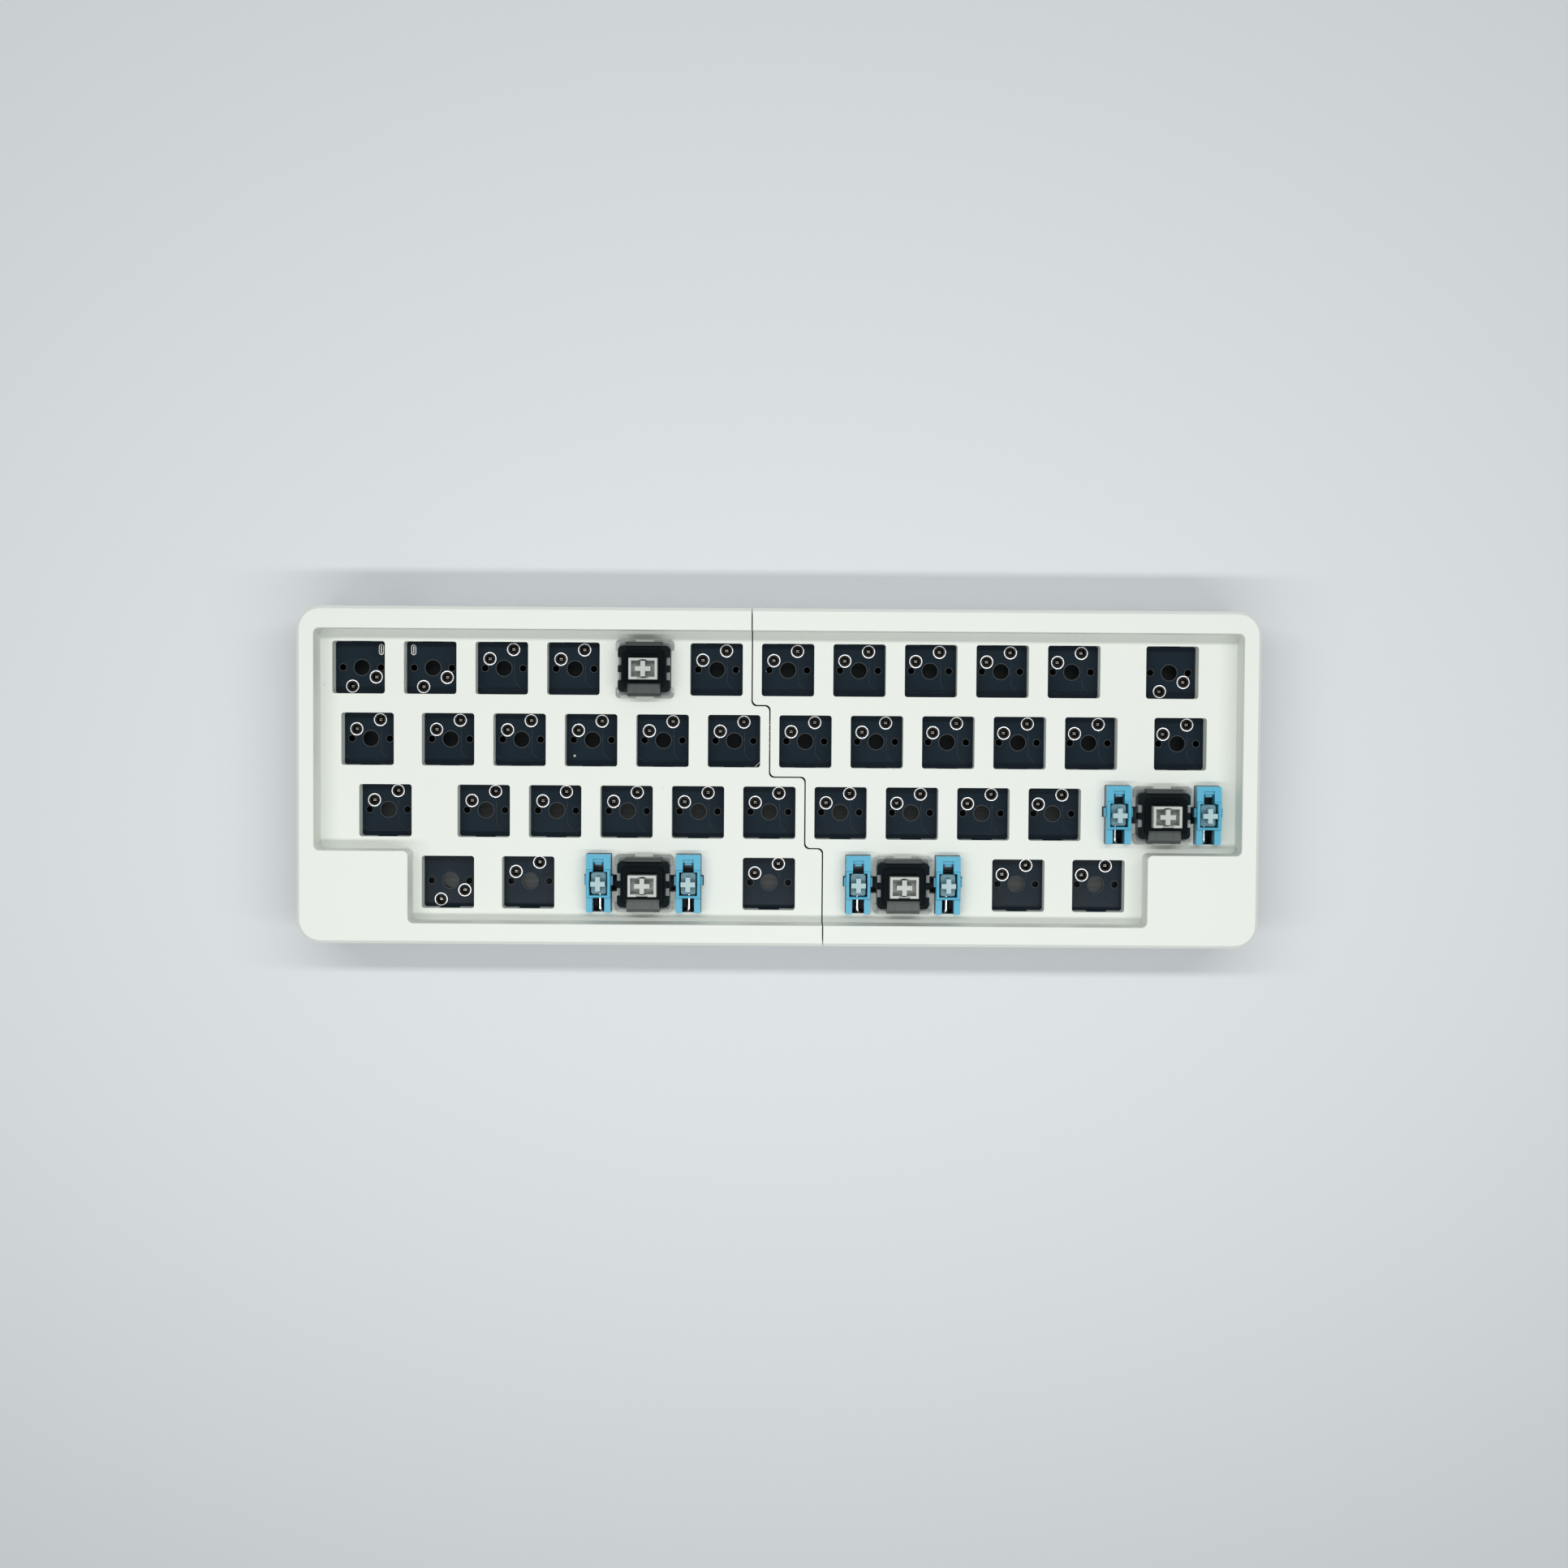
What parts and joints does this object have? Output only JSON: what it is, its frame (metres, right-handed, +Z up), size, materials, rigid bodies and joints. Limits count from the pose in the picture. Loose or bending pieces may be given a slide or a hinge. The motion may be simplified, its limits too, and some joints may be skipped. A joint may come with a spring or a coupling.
{
  "type": "split keyboard",
  "caption": "Compact mechanical keyboard base in two halves with a stepped seam, raised rim, open hot-swap switch sockets, a few switches with springs, and stabilizers.",
  "frame": {"origin": "middle of the rest plane under the feet, with the two halves closed", "axes": "+X to the right half, +Y to the rear with the cable opening, +Z up"},
  "size_m": [0.2532, 0.0888, 0.025],
  "materials": {
    "case_plastic": "fine matt",
    "cover_plastic": "fine matt",
    "board_laminate": "satin solder mask",
    "socket_plastic": "matt",
    "contact_metal": "plated",
    "chip_black": "matt",
    "link_plastic": "matt",
    "link_brass": "plated",
    "magnet_nickel": "nickel plated",
    "screw_steel": "zinc plated",
    "insert_brass": "turned",
    "foot_rubber": "matt",
    "housing_clear": "clear",
    "housing_black": "satin",
    "window_smoke": "smoky clear",
    "stabilizer_blue": "translucent",
    "port_steel": "plated",
    "port_plastic": "matt",
    "stem_white": "satin",
    "spring_steel": "wire",
    "stabilizer_stem_grey": "satin",
    "wire_steel": "bright wire"
  },
  "bodies": {
    "left_half": {"left_top_case": "case_plastic", "left_switch_plate": "case_plastic", "left_bottom_cover": "cover_plastic", "left_circuit_board": "board_laminate", "left_hotswap_sockets": "socket_plastic", "left_socket_contacts": "contact_metal", "left_key_diodes": "chip_black", "left_controller_chips": "chip_black", "left_link_strip": "link_plastic", "left_link_contacts": "link_brass", "left_seam_magnets": "magnet_nickel", "left_case_screws": "screw_steel", "left_threaded_inserts": "insert_brass", "left_board_screws": "screw_steel", "left_rubber_feet": "foot_rubber", "left_switch_lower_housings": "housing_clear", "left_switch_upper_housings": "housing_black", "left_switch_light_windows": "window_smoke", "left_switch_contacts": "contact_metal", "left_stabilizer_housings": "stabilizer_blue", "left_port_shell": "port_steel", "left_port_tongue": "port_plastic"},
    "right_half": {"right_top_case": "case_plastic", "right_switch_plate": "case_plastic", "right_bottom_cover": "cover_plastic", "right_circuit_board": "board_laminate", "right_hotswap_sockets": "socket_plastic", "right_socket_contacts": "contact_metal", "right_key_diodes": "chip_black", "right_controller_chips": "chip_black", "right_link_strip": "link_plastic", "right_link_contacts": "link_brass", "right_seam_magnets": "magnet_nickel", "right_case_screws": "screw_steel", "right_threaded_inserts": "insert_brass", "right_board_screws": "screw_steel", "right_rubber_feet": "foot_rubber", "right_switch_lower_housings": "housing_clear", "right_switch_upper_housings": "housing_black", "right_switch_light_windows": "window_smoke", "right_switch_contacts": "contact_metal", "right_stabilizer_housings": "stabilizer_blue"},
    "upper_left_key": {"upper_left_switch_stem": "stem_white", "upper_left_switch_spring": "spring_steel"},
    "lower_left_key": {"lower_left_switch_stem": "stem_white", "lower_left_switch_spring": "spring_steel"},
    "upper_right_key": {"upper_right_switch_stem": "stem_white", "upper_right_switch_spring": "spring_steel"},
    "lower_right_key": {"lower_right_switch_stem": "stem_white", "lower_right_switch_spring": "spring_steel"},
    "lower_left_stabilizer_wire": {"lower_left_stabilizer_wire": "wire_steel"},
    "lower_left_stabilizer_stem_left": {"lower_left_stabilizer_stem_left": "stabilizer_stem_grey"},
    "lower_left_stabilizer_stem_right": {"lower_left_stabilizer_stem_right": "stabilizer_stem_grey"},
    "upper_right_stabilizer_wire": {"upper_right_stabilizer_wire": "wire_steel"},
    "upper_right_stabilizer_stem_left": {"upper_right_stabilizer_stem_left": "stabilizer_stem_grey"},
    "upper_right_stabilizer_stem_right": {"upper_right_stabilizer_stem_right": "stabilizer_stem_grey"},
    "lower_right_stabilizer_wire": {"lower_right_stabilizer_wire": "wire_steel"},
    "lower_right_stabilizer_stem_left": {"lower_right_stabilizer_stem_left": "stabilizer_stem_grey"},
    "lower_right_stabilizer_stem_right": {"lower_right_stabilizer_stem_right": "stabilizer_stem_grey"}
  },
  "joints": [
    {"name": "halves_slide", "type": "slide", "parent": "left_half", "child": "right_half", "axis": [1, 0, 0], "range_m": [0, 0.1]},
    {"name": "upper_left_key_press", "type": "slide", "parent": "left_half", "child": "upper_left_key", "axis": [0, 0, -1], "range_m": [0, 0.004], "stiffness_N_per_m": 60, "springref_m": -0.005, "deforming": ["upper_left_switch_spring"]},
    {"name": "lower_left_key_press", "type": "slide", "parent": "left_half", "child": "lower_left_key", "axis": [0, 0, -1], "range_m": [0, 0.004], "stiffness_N_per_m": 60, "springref_m": -0.005, "deforming": ["lower_left_switch_spring"]},
    {"name": "upper_right_key_press", "type": "slide", "parent": "right_half", "child": "upper_right_key", "axis": [0, 0, -1], "range_m": [0, 0.004], "stiffness_N_per_m": 60, "springref_m": -0.005, "deforming": ["upper_right_switch_spring"]},
    {"name": "lower_right_key_press", "type": "slide", "parent": "right_half", "child": "lower_right_key", "axis": [0, 0, -1], "range_m": [0, 0.004], "stiffness_N_per_m": 60, "springref_m": -0.005, "deforming": ["lower_right_switch_spring"]},
    {"name": "lower_left_stabilizer_wire_turn", "type": "hinge", "parent": "left_half", "child": "lower_left_stabilizer_wire", "pos_m": [-0.03572, -0.03737, 0.0113], "axis": [1, 0, 0], "range_deg": [0, 24.37]},
    {"name": "lower_left_stabilizer_stem_left_lift", "type": "slide", "parent": "left_half", "child": "lower_left_stabilizer_stem_left", "axis": [0, 0, 1], "range_m": [0, 0.004]},
    {"name": "lower_left_stabilizer_stem_right_lift", "type": "slide", "parent": "left_half", "child": "lower_left_stabilizer_stem_right", "axis": [0, 0, 1], "range_m": [0, 0.004]},
    {"name": "upper_right_stabilizer_wire_turn", "type": "hinge", "parent": "right_half", "child": "upper_right_stabilizer_wire", "pos_m": [0.10239, -0.01833, 0.0113], "axis": [1, 0, 0], "range_deg": [0, 24.37]},
    {"name": "upper_right_stabilizer_stem_left_lift", "type": "slide", "parent": "right_half", "child": "upper_right_stabilizer_stem_left", "axis": [0, 0, 1], "range_m": [0, 0.004]},
    {"name": "upper_right_stabilizer_stem_right_lift", "type": "slide", "parent": "right_half", "child": "upper_right_stabilizer_stem_right", "axis": [0, 0, 1], "range_m": [0, 0.004]},
    {"name": "lower_right_stabilizer_wire_turn", "type": "hinge", "parent": "right_half", "child": "lower_right_stabilizer_wire", "pos_m": [0.03334, -0.03737, 0.0113], "axis": [1, 0, 0], "range_deg": [0, 24.37]},
    {"name": "lower_right_stabilizer_stem_left_lift", "type": "slide", "parent": "right_half", "child": "lower_right_stabilizer_stem_left", "axis": [0, 0, 1], "range_m": [0, 0.004]},
    {"name": "lower_right_stabilizer_stem_right_lift", "type": "slide", "parent": "right_half", "child": "lower_right_stabilizer_stem_right", "axis": [0, 0, 1], "range_m": [0, 0.004]}
  ],
  "couplings": [
    {"joint": "lower_left_stabilizer_wire_turn", "follows": "lower_left_stabilizer_stem_left_lift", "rad_per_m": 106.33},
    {"joint": "lower_left_stabilizer_stem_right_lift", "follows": "lower_left_stabilizer_stem_left_lift", "ratio": 1},
    {"joint": "upper_right_stabilizer_wire_turn", "follows": "upper_right_stabilizer_stem_left_lift", "rad_per_m": 106.33},
    {"joint": "upper_right_stabilizer_stem_right_lift", "follows": "upper_right_stabilizer_stem_left_lift", "ratio": 1},
    {"joint": "lower_right_stabilizer_wire_turn", "follows": "lower_right_stabilizer_stem_left_lift", "rad_per_m": 106.33},
    {"joint": "lower_right_stabilizer_stem_right_lift", "follows": "lower_right_stabilizer_stem_left_lift", "ratio": 1}
  ]
}
